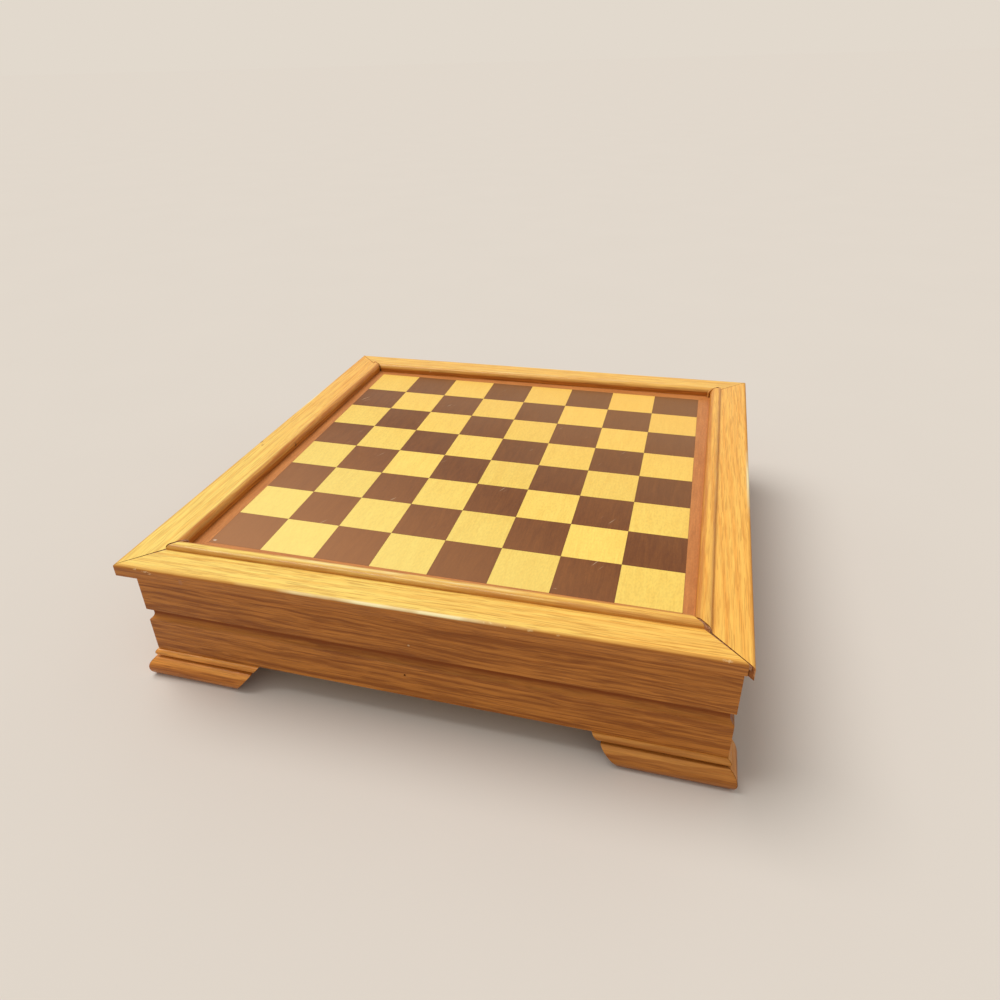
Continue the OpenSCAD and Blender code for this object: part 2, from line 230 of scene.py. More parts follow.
class ChessBoxStage(bpy.types.PropertyGroup):
    """Floor, lamps and camera."""

    floor: colour_setting(
        name="Floor", description="Plain pale floor", default="#DCD4CA")
    backdrop: colour_setting(
        name="Backdrop", description="What the camera sees past the floor", default="#E2D9CD")
    ambient: FloatProperty(
        name="Ambient", description="Strength of the light from all round",
        min=0, max=2, default=0.52)
    key: FloatProperty(
        name="Key light", min=0, max=50, default=1.9,
        description="Strength of the soft light overhead, in watts per square metre")
    key_place: FloatVectorProperty(
        name="Key light from", subtype="XYZ", size=3,
        description="The way that the key light comes from", default=(-0.5, 0.12, 1.0))
    key_angle: FloatProperty(
        name="Key light softness", description="How wide the key light looks from the box",
        subtype="ANGLE", unit="ROTATION", min=0, max=3.14, default=math.radians(42))
    camera_place: FloatVectorProperty(
        name="Camera place", subtype="TRANSLATION", unit="LENGTH", size=3,
        description="Where the camera stands", default=(0.10981, -0.38970, 0.28704))
    camera_turn: FloatVectorProperty(
        name="Camera turn", subtype="EULER", unit="ROTATION", size=3,
        description="How the camera is turned",
        default=(math.radians(60.191), math.radians(1.499), math.radians(15.545)))
    lens: FloatProperty(
        name="Lens", description="Focal length on a 36 mm sensor, in millimetres",
        min=1, max=500, default=26.82)
    shift: FloatVectorProperty(
        name="Shift", description="How far the picture is off the lens's axis",
        size=2, default=(0.0159, -0.0175))


# ---- Shared patterns -------------------------------------------------------


def noised(tree, point, scale, detail, roughness=0.5, distortion=0.0):
    """Noise whose scale may differ along the three axes. A scale of 1000 draws grains of 1 mm."""
    drawn = add(tree, "VectorMath", point, scale, operation="MULTIPLY")
    return add(tree, "TexNoise", named={
        "Vector": drawn, "Scale": 1.0, "Detail": detail, "Roughness": roughness,
        "Distortion": distortion})


def between(tree, value, rise, fall, **settings):
    """1 from the end of the rise to the start of the fall, and 0 outside both."""
    up = add(tree, "MapRange", value, *rise, **settings)
    down = add(tree, "MapRange", value, *fall, 1.0, 0.0, **settings)
    return add(tree, "Math", up, down, operation="MULTIPLY")


def distance(tree, value, line):
    """How far a value lies from a line, on either side."""
    off = add(tree, "Math", value, line, operation="SUBTRACT")
    return add(tree, "Math", off, operation="ABSOLUTE")


def laid_over(tree, wood, tone, *shares):
    """The wood with a tone laid over it, by the shares multiplied together."""
    share = shares[0]
    for other in shares[1:]:
        share = add(tree, "Math", share, other, operation="MULTIPLY")
    return add(tree, "Mix", share, wood, tone, data_type="RGBA")


def grain_group():
    """The grain of a ring-porous board. X runs along the grain, and the pith is the tree's middle.

    Early is the porous band that starts each year, Streak the soft uneven tone between boards'
    fibres, Pore the open pores, and Fibre the finest lines.
    """
    name = "Wood grain"
    if name in bpy.data.node_groups:
        return bpy.data.node_groups[name]
    tree = bpy.data.node_groups.new(name, "ShaderNodeTree")
    for socket, kind, default in (
        ("Point", "NodeSocketVector", (0, 0, 0)),
        ("Pith", "NodeSocketVector", (0, 0.06, 0)),
        ("Ring", "NodeSocketFloat", 2.6 * MM),
        ("Wander", "NodeSocketFloat", 3 * MM),
        ("Pore width", "NodeSocketFloat", 0.6 * MM),
        ("Pore length", "NodeSocketFloat", 7 * MM),
    ):
        made = tree.interface.new_socket(socket, in_out="INPUT", socket_type=kind)
        made.default_value = default
    for socket in ("Early", "Streak", "Pore", "Fibre"):
        tree.interface.new_socket(socket, in_out="OUTPUT", socket_type="NodeSocketFloat")
    given = add(tree, "NodeGroupInput").outputs

    # Mirrored boards are cut from other places along the log
    parts = add(tree, "SeparateXYZ", given["Point"]).outputs
    other = add(tree, "Math", parts["Y"], 0.0, operation="GREATER_THAN")
    along = add(tree, "Math", other, 1.73, parts["X"], operation="MULTIPLY_ADD")
    inward = add(tree, "Math", parts["Y"], operation="ABSOLUTE")
    point = moved = add(tree, "CombineXYZ", along, inward, parts["Z"])

    # The rings wander over 200 mm along the log and 45 mm across it, and ripple over 28 and 10
    for scale, share in (((5.0, 22.0, 22.0), 3.0), ((36.0, 100.0, 100.0), 0.8)):
        drift = noised(tree, point, scale, 2.0).outputs["Color"]
        drift = add(tree, "VectorMath", drift, (0.5, 0.5, 0.5), operation="SUBTRACT")
        reach = add(tree, "Math", given["Wander"], share, operation="MULTIPLY")
        swing = add(tree, "VectorMath", drift, reach, operation="SCALE")
        moved = add(tree, "VectorMath", moved, swing, operation="ADD")
    from_pith = add(tree, "VectorMath", moved, given["Pith"], operation="SUBTRACT")
    section = add(tree, "VectorMath", from_pith, (0.0, 1.0, 1.0), operation="MULTIPLY")
    radius = add(tree, "VectorMath", section, operation="LENGTH")
    # A trunk tapers, which draws the rings out into long arches on a flat face
    tapered = add(tree, "Math", along, 0.018, radius, operation="MULTIPLY_ADD")
    years = add(tree, "Math", tapered, given["Ring"], operation="DIVIDE")
    uneven = add(tree, "TexNoise", named={"W": years, "Scale": 0.37, "Detail": 1.0},
                 noise_dimensions="1D")
    years = add(tree, "Math", uneven, 2.4, years, operation="MULTIPLY_ADD")
    season = add(tree, "Math", years, operation="FRACT")
    early = between(tree, season, (0.0, 0.12), (0.16, 0.75), interpolation_type="SMOOTHSTEP")

    # Soft streaks, 65 mm long and up to 2.5 mm wide, lie over the rings
    streak = noised(tree, moved, (15.0, 400.0, 400.0), 5.0, 0.68)

    # Pores are long thin dashes, packed in the early wood and sparse elsewhere. Their size is real
    # along the grain, and drawn coarser across it
    size = add(tree, "CombineXYZ", given["Pore length"], given["Pore width"], given["Pore width"])
    cell = add(tree, "VectorMath", point, size, operation="DIVIDE")
    dash = noised(tree, cell, (0.8, 0.8, 0.8), 1.0, 0.4)
    packed = add(tree, "Math", early, 0.05, dash, operation="MULTIPLY_ADD")
    pore = add(tree, "MapRange", packed, 0.565, 0.64, interpolation_type="SMOOTHSTEP")

    # Fibres are 0.02 mm thick and are drawn at 0.7 mm, so that they show
    fibre = noised(tree, point, (60.0, 1500.0, 1500.0), 3.0, 0.6)
    add(tree, "NodeGroupOutput",
        named={"Early": early, "Streak": streak, "Pore": pore, "Fibre": fibre})
    return tree


def grained(tree, point, pith, ring, wander, pore_width, pore_length):
    """The grain at a point of one board."""
    return add(tree, "Group", node_tree=grain_group(), named={
        "Point": point, "Pith": pith, "Ring": ring, "Wander": wander,
        "Pore width": pore_width, "Pore length": pore_length}).outputs


def figured(tree, grain, late, early, rings, clouds, lines):
    """The wood's tone: early wood in the rings and in the streaks, and fine lines over both."""
    band = add(tree, "Math", grain["Early"], rings, operation="MULTIPLY")
    cloud = add(tree, "MapRange", grain["Streak"], *clouds)
    wood = laid_over(tree, late, early,
                     add(tree, "Math", band, cloud, operation="ADD", use_clamp=True))
    light = add(tree, "MapRange", grain["Fibre"], 0.25, 0.75, *lines)
    return add(tree, "VectorMath", wood, light, operation="SCALE")


def along_grain(tree, turn, output="Object"):
    """The object's own coordinates or normal, turned so that X runs along the grain."""
    place = add(tree, "TexCoord").outputs[output]
    return add(tree, "Mapping", named={"Vector": place, "Rotation": (0.0, 0.0, turn)})


def new_material(name):
    """A material with an empty tree, and that tree."""
    made = bpy.data.materials.new(name)
    made.use_nodes = True
    made.node_tree.nodes.clear()
    return made, made.node_tree


# ---- Materials --------------------------------------------------------------


def oak(name, turn, tones, pith, ring, wander, pores, stain, streaks, rings, gloss,
        rail=None, groove=None, quirk=None, marks=()):
    """Red oak, planed, stained honey and sprayed with gloss lacquer.

    Ring-porous: each year starts with a band of open pores, which take the stain and show as
    short darker dashes. Upward faces are paler and yellower, partly sun bleaching and partly
    painted light, and upright faces keep the stain's red. End grain is darker, partly the stain
    that it drinks and partly painted shade. The lacquer fills the pores, so the surface shines.
    rail is a rail's wear, painted shade and painted highlight, with the normal of its outer face
    and how far out that face stands.
    groove gives the heights and the depth of a groove painted darker as shade, most under its
    upper lip, and quirk the heights of a sharp groove painted darker as shade.
    """
    material, tree = new_material(name)
    place = add(tree, "TexCoord").outputs["Object"]
    run = along_grain(tree, turn)
    grain = grained(tree, run, pith, ring, wander, *pores)
    facing = add(tree, "SeparateXYZ", along_grain(tree, turn, "Normal")).outputs
    parts = add(tree, "SeparateXYZ", place).outputs
    height = parts["Z"]
    # Painted light: upward faces take the paler, yellower tones and upright faces the redder ones,
    # partly sun bleaching and partly painted light from above
    bleached_and_lit = add(tree, "MapRange", facing["Z"], 0.25, 0.95, interpolation_type="SMOOTHSTEP")
    if rail or quirk:
        # Painted light: the sides of the bead are painted lit too
        bead = FLAT_TOP if rail else quirk[1]
        lit = add(tree, "MapRange", height, bead - 0.2 * MM, bead + 0.6 * MM, 0.0, 0.7)
        bleached_and_lit = add(tree, "Math", bleached_and_lit, lit, operation="MAXIMUM")
    late, early, pore = (laid_over(tree, tones[upright], tones[upward], bleached_and_lit)
                         for upright, upward in (("edge", "top"), ("edge_early", "top_early"),
                                                 ("pore", "pore_top")))
    wood = figured(tree, grain, late, early, rings, (0.36, 0.66, -streaks * 0.4, streaks),
                   (0.86, 1.12))
    wood = laid_over(tree, wood, pore, grain["Pore"], stain)
    if rail:
        # Painted glare: the upward faces are palest towards the front left corner, and more orange
        # elsewhere
        painted_glare = add(tree, "VectorMath", place, GLARE_CORNER, operation="DOT_PRODUCT")
        painted_glare = add(tree, "MapRange", painted_glare, 0.01, 0.125)
        glare_tint = laid_over(tree, (1.02, 0.89, 0.68, 1.0), (1.03, 1.15, 1.08, 1.0), painted_glare)
        glare_tint = laid_over(tree, (1.0, 1.0, 1.0, 1.0), glare_tint, bleached_and_lit)
        wood = add(tree, "VectorMath", wood, glare_tint, operation="MULTIPLY")
    # End grain is darker: partly the stain it drinks, partly painted shade
    cut = add(tree, "Math", facing["X"], operation="ABSOLUTE")
    end = add(tree, "MapRange", cut, 0.3, 0.65, 0.0, 0.8)
    wood = laid_over(tree, wood, tones["end"], end)
    dull = add(tree, "MapRange", grain["Streak"], 0.3, 0.7, 0.30, 0.44)
    coat = gloss

    if rail:
        wood, arris = worn_and_lit_rail(tree, wood, place, run, height, facing["Z"], tones, *rail)
        coat = add(tree, "Math", arris, -gloss, gloss, operation="MULTIPLY_ADD")
        dull = add(tree, "Math", arris, 0.3, dull, operation="MULTIPLY_ADD")
    if groove:
        # Painted shade: the groove is darker, most of all under its upper lip
        lowest, highest, depth = groove
        sides = [add(tree, "Math", parts[axis], operation="ABSOLUTE") for axis in ("X", "Y")]
        out = add(tree, "Math", *sides, operation="MAXIMUM")
        behind = add(tree, "Math", CASE_FACE, out, operation="SUBTRACT")
        inside = between(tree, behind, (0.1 * MM, 0.9 * MM),
                         (depth + 0.2 * MM, depth + 0.4 * MM))
        raised = between(tree, height, (lowest + 1.6 * MM, highest - 3.4 * MM),
                         (highest, highest + 0.3 * MM))
        dirt = add(tree, "Math", inside, raised, operation="MULTIPLY")
        dirt = add(tree, "Math", dirt, 0.95, operation="MULTIPLY")
        wood = laid_over(tree, wood, tones["dirt"], dirt)
        dull = add(tree, "Math", dirt, 0.3, dull, operation="MULTIPLY_ADD")
    if quirk:
        # Painted shade: the sharp groove between the foot's two rounds is darker
        off = distance(tree, height, sum(quirk) / 2)
        painted_shade = add(tree, "MapRange", off, 0.15 * MM, 0.5 * MM, 0.8, 0.0)
        wood = laid_over(tree, wood, tones["pore"], painted_shade)
        dull = add(tree, "Math", painted_shade, 0.3, dull, operation="MULTIPLY_ADD")
        # Painted shade: the underside of the lower round is darker near the floor
        dust = add(tree, "MapRange", height, 0.5 * MM, 6 * MM, 0.55, 0.0)
        wood = laid_over(tree, wood, tones["pore"], dust)
    if marks:
        wood = marked(tree, wood, place, marks)

    fine = add(tree, "Math", grain["Fibre"], 0.3, operation="MULTIPLY")
    sunk = add(tree, "Math", fine, grain["Pore"], operation="SUBTRACT")
    bump = add(tree, "Bump", named={"Strength": 0.3, "Distance": 0.1 * MM, "Height": sunk})
    shader = add(tree, "BsdfPrincipled", named={
        "Base Color": wood, "Roughness": dull, "IOR": 1.32, "Normal": bump,
        "Coat Weight": coat, "Coat Roughness": 0.12, "Coat IOR": 1.45,
    })
    add(tree, "OutputMaterial", shader)
    return material


def worn_and_lit_rail(tree, wood, place, run, height, upward, tones, wear, normal, reach):
    """Wear, painted shade and painted highlight on a rail's bead and outer upper arris. Gives the
    wood, and the arris's share.
    """
    out = add(tree, "VectorMath", place, normal, operation="DOT_PRODUCT")
    over = add(tree, "Math", reach, out, operation="SUBTRACT")
    # Painted shade on the bead's sides, uneven in streaks of 25 mm by 1.4 mm
    patchy = noised(tree, run, (40.0, 700.0, 700.0), 4.0, 0.65)
    raised = add(tree, "MapRange", height, FLAT_TOP, FLAT_TOP + 0.5 * MM)
    crown_line = FLAT_WIDE + wear.crown_in * MM
    from_crown = distance(tree, over, crown_line)
    side = add(tree, "MapRange", from_crown, 0.8 * MM, 3.0 * MM, 0.2, 0.85)
    uneven = add(tree, "MapRange", patchy, 0.38, 0.6, 0.45, 1.15)
    outer = add(tree, "MapRange", over, crown_line - 0.6 * MM, crown_line, wear.outer_shade, 0.0)
    wood = laid_over(tree, wood, tones["quirk"], raised, side, uneven, outer)
    inner = add(tree, "MapRange", over, crown_line, crown_line + 1.5 * MM, 0.0, wear.inner_shade)
    uneven = add(tree, "MapRange", patchy, 0.36, 0.56, 0.55, 1.0)
    wood = laid_over(tree, wood, tones["slope"], raised, inner, uneven)
    # Painted shade at the bead's foot
    off = distance(tree, over, FLAT_WIDE - 0.25 * MM)
    near = add(tree, "MapRange", off, 0.2 * MM, 0.7 * MM, 0.5 * wear.outer_shade, 0.0)
    low = add(tree, "MapRange", height, FLAT_TOP + 0.3 * MM, FLAT_TOP + 1.2 * MM, 1.0, 0.0)
    wood = laid_over(tree, wood, tones["quirk"], near, low)

    # A painted highlight, partly rubbed lacquer, lies on one stretch of each rail's crown and
    # outer arris, in patches of 45 mm
    along = add(tree, "SeparateXYZ", run).outputs["X"]
    rise, fall = (((value - 20) * MM, (value + 20) * MM) for value in wear.stretch)
    stretch = between(tree, along, rise, fall)
    rub_and_highlight = noised(tree, place, (22.0, 22.0, 22.0), 3.0, 0.6)
    rub_and_highlight = add(tree, "MapRange", rub_and_highlight, 0.36, 0.56)
    rubbed = add(tree, "Math", stretch, rub_and_highlight, operation="MULTIPLY")
    crown = add(tree, "MapRange", from_crown, 0.5 * MM, 1.6 * MM, 1.0, 0.0)
    crown = add(tree, "Math", raised, crown, operation="MULTIPLY")
    uneven = add(tree, "MapRange", patchy, 0.38, 0.56, 0.0, wear.crown_highlight)
    crown = add(tree, "Math", crown, uneven, operation="MULTIPLY")
    under = add(tree, "Math", FLAT_TOP, height, operation="SUBTRACT")
    away = add(tree, "VectorMath", add(tree, "CombineXYZ", over, under), operation="LENGTH")
    arris = add(tree, "MapRange", away, 0.9 * MM, 1.9 * MM, 1.0, 0.0)
    wood = laid_over(tree, wood, tones["quirk"], arris, 0.5)
    close = add(tree, "MapRange", upward, 0.1, 0.5, 0.0, 0.95)
    close = add(tree, "Math", arris, close, operation="MULTIPLY")
    thin = add(tree, "Math", crown, close, operation="ADD", use_clamp=True)
    wood = laid_over(tree, wood, tones["rubbed"], rubbed, thin)
    # Knocks of about 3 mm have broken the lacquer off the arris here and there
    knocked = noised(tree, place, (330.0, 330.0, 330.0), 3.0, 0.7)
    knocked = add(tree, "MapRange", knocked, 0.64, 0.68, 0.0, 0.7)
    chip = add(tree, "MapRange", away, 0.4 * MM, 1.0 * MM, 1.0, 0.0)
    wood = laid_over(tree, wood, tones["raw"], knocked, chip, stretch)
    return wood, arris


def marked(tree, wood, place, marks):
    """Chips, knocks and knots: each is a place, its reach along each axis, and its colour.

    The places and the reach are in millimetres. The edges are ragged, in teeth of 0.9 mm.
    """
    raggedness = 2 * MM
    rough = noised(tree, place, (1100.0, 1100.0, 1100.0), 2.0).outputs["Color"]
    shift = add(tree, "VectorMath", rough, raggedness, operation="SCALE")
    ragged = add(tree, "VectorMath", shift, place, operation="ADD")
    for centre, reach, colour in marks:
        # The noise is about a half, so it shifts the whole by half the raggedness
        middle = [value * MM + raggedness / 2 for value in centre]
        off = add(tree, "VectorMath", ragged, middle, operation="SUBTRACT")
        share = add(tree, "VectorMath", off, [value * MM for value in reach], operation="DIVIDE")
        far = add(tree, "VectorMath", share, operation="LENGTH")
        cover = add(tree, "MapRange", far, 0.3, 1.0, 0.7, 0.0)
        wood = laid_over(tree, wood, opaque(linear(colour)), cover)
    return wood


def veneer(name, turn, colour, streak, depth, glare_tone=None, back=None, marks=()):
    """Thin knife-cut veneer under gloss lacquer.

    When a glare tone is given, each square is its own leaf. That tone is painted glare towards
    the front left corner, and back is the tone given towards the far corner.
    """
    material, tree = new_material(name)
    place = add(tree, "TexCoord").outputs["Object"]
    point = leaf = along_grain(tree, turn)
    if glare_tone:
        # Each square's own tone, and its own place in the leaf
        whole = add(tree, "VectorMath", point, 1 / SQUARE, operation="SCALE")
        whole = add(tree, "VectorMath", whole, operation="FLOOR")
        flat = add(tree, "VectorMath", whole, (1.0, 1.0, 0.0), operation="MULTIPLY")
        chance = add(tree, "TexWhiteNoise", flat, noise_dimensions="3D").outputs
        spread = add(tree, "VectorMath", chance["Color"], 0.9, operation="SCALE")
        leaf = add(tree, "VectorMath", point, spread, operation="ADD")

    # Fibres are drawn at 0.8 mm, so that they show. The figure is 33 mm long and 6 mm wide
    fibre = noised(tree, leaf, (90.0, 1300.0, 1300.0), 3.0, 0.65)
    figure = noised(tree, leaf, (30.0, 170.0, 170.0), 4.0, 0.6, 1.4)
    strands = add(tree, "MapRange", fibre, 0.3, 0.72, 0.0, 0.6)
    clouds = add(tree, "MapRange", figure, 0.35, 0.7, 0.0, 0.7)
    amount = add(tree, "Math", strands, clouds, operation="ADD")
    amount = add(tree, "Math", amount, depth, operation="MULTIPLY", use_clamp=True)
    wood = laid_over(tree, opaque(colour), opaque(streak), amount)
    # A close grain shows as a fine fleck, 2 mm by 0.9 mm
    fleck = noised(tree, leaf, (500.0, 1100.0, 1100.0), 2.0)
    fleck = add(tree, "MapRange", fleck, 0.3, 0.7, 0.93, 1.07)
    wood = add(tree, "VectorMath", wood, fleck, operation="SCALE")
    if glare_tone:
        own = add(tree, "MapRange", chance["Value"], 0.0, 1.0, 0.93, 1.04)
        wood = add(tree, "VectorMath", wood, own, operation="SCALE")
        # Painted glare makes the front left corner paler, and the far corner takes a tone of its
        # own
        for way, start, end, tone in ((GLARE_CORNER, 0.02, 0.16, glare_tone),
                                      (FAR_CORNER, -0.02, 0.12, back)):
            towards = add(tree, "VectorMath", place, way, operation="DOT_PRODUCT")
            share = add(tree, "MapRange", towards, start, end, 0.0, 0.6)
            wood = laid_over(tree, wood, opaque(tone), share)

    if marks:
        wood = marked(tree, wood, place, marks)
        # Sparse scratches in the lacquer, pale over the dark wood, in groups of 22 mm. They are
        # 0.05 mm wide, and are drawn at 0.3 mm, so that they show
        skewed = add(tree, "Mapping", named={"Vector": point, "Rotation": (0.0, 0.0, 0.5)})
        lines = noised(tree, skewed, (60.0, 900.0, 1.0), 1.0)
        lines = add(tree, "MapRange", lines, 0.72, 0.78)
        where = noised(tree, point, (45.0, 45.0, 45.0), 1.0)
        where = add(tree, "MapRange", where, 0.55, 0.65, 0.0, 0.5)
        wood = laid_over(tree, wood, opaque(linear("#E8D2B0")), lines, where)

    # The lacquer has sunk a little into the grain, and is rubbed in patches of 55 mm
    rubbed = noised(tree, point, (18.0, 18.0, 18.0), 4.0)
    dull = add(tree, "MapRange", rubbed, 0.3, 0.7, 0.32, 0.5)
    bump = add(tree, "Bump", named={"Strength": 0.15, "Distance": 0.08 * MM, "Height": fibre})
    shader = add(tree, "BsdfPrincipled", named={
        "Base Color": wood, "Roughness": dull, "IOR": 1.34, "Normal": bump,
        "Coat Weight": 0.05, "Coat Roughness": 0.16, "Coat IOR": 1.45,
    })
    add(tree, "OutputMaterial", shader)
    return material


def bare_wood(name, turn, colour, streak, ring, roughness):
    """Softwood or plywood face, planed or sanded and left bare: matt, with soft wide rings."""
    material, tree = new_material(name)
    grain = grained(tree, along_grain(tree, turn), (0.0, 0.03, -0.05), ring, 4 * MM, 0.4 * MM,
                    5 * MM)
    wood = figured(tree, grain, opaque(colour), opaque(streak), 0.55, (0.3, 0.7, -0.1, 0.35),
                   (0.9, 1.08))
    dull = add(tree, "MapRange", grain["Fibre"], 0.0, 1.0, roughness - 0.08, roughness + 0.08)
    bump = add(tree, "Bump",
               named={"Strength": 0.4, "Distance": 0.1 * MM, "Height": grain["Fibre"]})
    shader = add(tree, "BsdfPrincipled",
                 named={"Base Color": wood, "Roughness": dull, "IOR": 1.45, "Normal": bump})
    add(tree, "OutputMaterial", shader)
    return material


def wool_felt(colour):
    """Pressed wool felt: no gloss, a matted nap of hairs, and a pale fuzz at low angles."""
    material, tree = new_material("Green wool felt, pressed")
    place = add(tree, "TexCoord").outputs["Object"]
    # Hairs are 0.03 mm thick and are drawn at 0.25 mm, so that they show, in tufts of 4 mm
    hairs = noised(tree, place, (1900.0, 1900.0, 1900.0), 3.0, 0.5, 1.2)
    tufts = noised(tree, place, (260.0, 260.0, 260.0), 3.0)
    nap = add(tree, "Math", hairs, tufts, operation="ADD")
    light = add(tree, "MapRange", nap, 0.6, 1.4, 0.6, 1.5)
    toned = add(tree, "VectorMath", colour[:3], light, operation="SCALE")
    dull = add(tree, "MapRange", hairs, 0.0, 1.0, 0.86, 1.0)
    bump = add(tree, "Bump", named={"Strength": 0.7, "Distance": 0.25 * MM, "Height": nap})
    shader = add(tree, "BsdfPrincipled", named={
        "Base Color": toned, "Roughness": dull, "IOR": 1.4, "Normal": bump,
        "Sheen Weight": 0.35, "Sheen Roughness": 0.5, "Sheen Tint": opaque(linear("#9DB8A6")),
    })
    add(tree, "OutputMaterial", shader)
    return material


def specked(name, noise_settings, tones, dull, spread=(0.0, 1.0), **inputs):
    """A material of two tones in small specks, and duller where the second tone is."""
    material, tree = new_material(name)
    specks = noised(tree, add(tree, "TexCoord").outputs["Object"], *noise_settings)
    share = add(tree, "MapRange", specks, *spread)
    tone = laid_over(tree, *(opaque(linear(code)) for code in tones), share)
    rough = add(tree, "MapRange", specks, 0.0, 1.0, *dull)
    shader = add(tree, "BsdfPrincipled",
                 named={"Base Color": tone, "Roughness": rough, **inputs})
    add(tree, "OutputMaterial", shader)
    return material


def drawn_steel():
    """Bare drawn steel of a headless pin: grey, with a light bloom in spots of 0.5 mm."""
    return specked("Bare steel, drawn", ((2200.0, 2200.0, 2200.0), 4.0), ("#9C9A96", "#C4C2BE"),
                   (0.3, 0.5), Metallic=1.0)


def old_glue(name, dark, pale):
    """Hide glue gone brown, with dust and chips of lacquer of 0.7 mm stuck in it."""
    return specked(name, ((1400.0, 1400.0, 1400.0), 3.0, 0.7), (dark, pale), (0.5, 0.9),
                   spread=(0.42, 0.62), IOR=1.5)


def wax_filler():
    """Soft wax stopping rubbed into a pin hole: a pale, slightly shiny dot with specks of dust."""
    return specked("Wax stopping", ((3000.0, 3000.0, 3000.0), 2.0), ("#E2BE8C", "#C08E58"),
                   (0.4, 0.6), IOR=1.45)


# Each bare wood's streaks, the width of its rings, and its roughness
PLANED_PINE = (linear("#C4924F"), 3.2 * MM, 0.58)
SAWN_PINE = (linear("#B98547"), 2.6 * MM, 0.68)
PLYWOOD = (linear("#B7935C"), 7 * MM, 0.62)
CORE_PLYWOOD = (linear("#B7935C"), 6 * MM, 0.62)

# Knocks in the lacquer of the dark squares, pale over the walnut
BOARD_MARKS = (
    ((-117.9, -117.7, 71.0), (1.3, 0.8, 1.0), "#F0E2CC"),
    ((57.8, -118.3, 71.0), (0.5, 1.6, 1.0), "#C8A07C"),
    ((62.0, -116.0, 71.0), (1.4, 0.3, 1.0), "#C8A07C"),
)


def dress(material, *names):
    """Gives CAD nodes a material."""
    for name in names:
        slots = NODES[name].material_slots
        for slot in slots:
            slot.link = "OBJECT"
            slot.material = material
        if not slots:
            raise RuntimeError(f"{name} has no material slot")


def oak_tones(settings, **own):
    """The oak's colours by name, as nodes read them. own gives the piece's own tones."""
    names = ("edge", "edge_early", "pore_top", "pore", "end", "dirt", "quirk", "slope", "rubbed",
             "raw")
    tones = {name: getattr(settings, name) for name in names} | own
    return {name: opaque(tone) for name, tone in tones.items()}


class RailWear(NamedTuple):
    """How one rail has aged, and its painted shade and highlight. Lengths are in millimetres."""

    stain: float  # held by its pores
    crown_in: float  # from the flat to the crown of the bead
    outer_shade: float  # painted shade on the bead's outer side
    inner_shade: float  # painted shade on the side that looks on to the board
    crown_highlight: float  # painted highlight on the crown, partly rubbed lacquer
    stretch: tuple  # the part along the rail with the painted highlight, partly rubbed lacquer, and chips
    marks: tuple  # chips, knocks and knots


# Among the marks, chipped lacquer is pale, and a knot and a splinter's shadow are dark
RAIL_WEAR = {
    "front": RailWear(stain=0.5, crown_in=3.9, outer_shade=0.8, inner_shade=0.9, crown_highlight=0.6,
                      stretch=(-66, 42), marks=(
        ((-139.8, -152.2, 73.2), (1.2, 1.0, 0.7), "#F0C48C"),
        ((-134.0, -152.2, 72.7), (2.6, 1.0, 0.5), "#F6D6A4"),
        ((-133.0, -152.2, 72.0), (1.8, 1.0, 0.3), "#8A4A1C"),
        ((-131.6, -152.2, 71.7), (1.2, 1.0, 0.5), "#F2CC98"),
        ((-115.0, -152.2, 69.5), (1.4, 1.0, 1.8), "#B87A4C"),
        ((40.2, -149.9, 74.0), (1.4, 0.9, 0.5), "#F6D896"),
        ((46.8, -150.4, 73.2), (0.9, 0.8, 0.6), "#ECC488"),
        ((57.8, -150.3, 73.5), (1.6, 0.9, 0.6), "#F4D694"),
        ((69.9, -150.2, 73.2), (1.1, 0.8, 0.6), "#ECC488"),
        ((139.0, -149.4, 73.7), (2.6, 0.9, 0.6), "#F2CB92"),
    )),
    "back": RailWear(stain=0.4, crown_in=3.6, outer_shade=0.3, inner_shade=0.35, crown_highlight=0.3,
                     stretch=(-60, 90), marks=(
        ((-82.9, 126.9, 73.8), (1.6, 1.6, 1.4), "#FFE0A0"),
    )),
    "left": RailWear(stain=0.3, crown_in=3.0, outer_shade=0.05, inner_shade=0.95, crown_highlight=0.0,
                     stretch=(20, 90), marks=(
        ((-150.2, -14.0, 73.9), (1.1, 2.2, 1.1), "#8A5218"),
        ((-147.0, -18.0, 74.0), (0.8, 2.0, 0.9), "#9A6020"),
        ((-127.0, -12.0, 73.6), (1.3, 1.8, 1.8), "#3A1402"),
    )),
    "right": RailWear(stain=0.38, crown_in=3.9, outer_shade=0.5, inner_shade=0.8, crown_highlight=0.1,
                      stretch=(-20, 30), marks=(
        ((149.6, -151.6, 71.0), (1.5, 1.2, 2.6), "#E2A870"),
    )),
}


def railing(settings, side, turn, warm):
    """A rail's oak. warm below 1 is a redder board."""
    name = f"rail_{side}"
    wear = RAIL_WEAR[side]
    tint = (1.0, warm, warm * warm)
    top, top_early = ([value * share for value, share in zip(tone, tint)]
                      for tone in (settings.moulding, settings.moulding_early))
    tones = oak_tones(settings, top=top, top_early=top_early)
    dress(oak(f"Red oak, gloss lacquer, {side} rail", turn, tones, pith=MOULDING_PITH,
              ring=settings.ring, wander=2.5 * MM,
              pores=(settings.pore_width, settings.pore_length), stain=wear.stain, streaks=0.5,
              rings=0.4, gloss=0.18, rail=(wear, *outer_face(name)), marks=wear.marks), name)


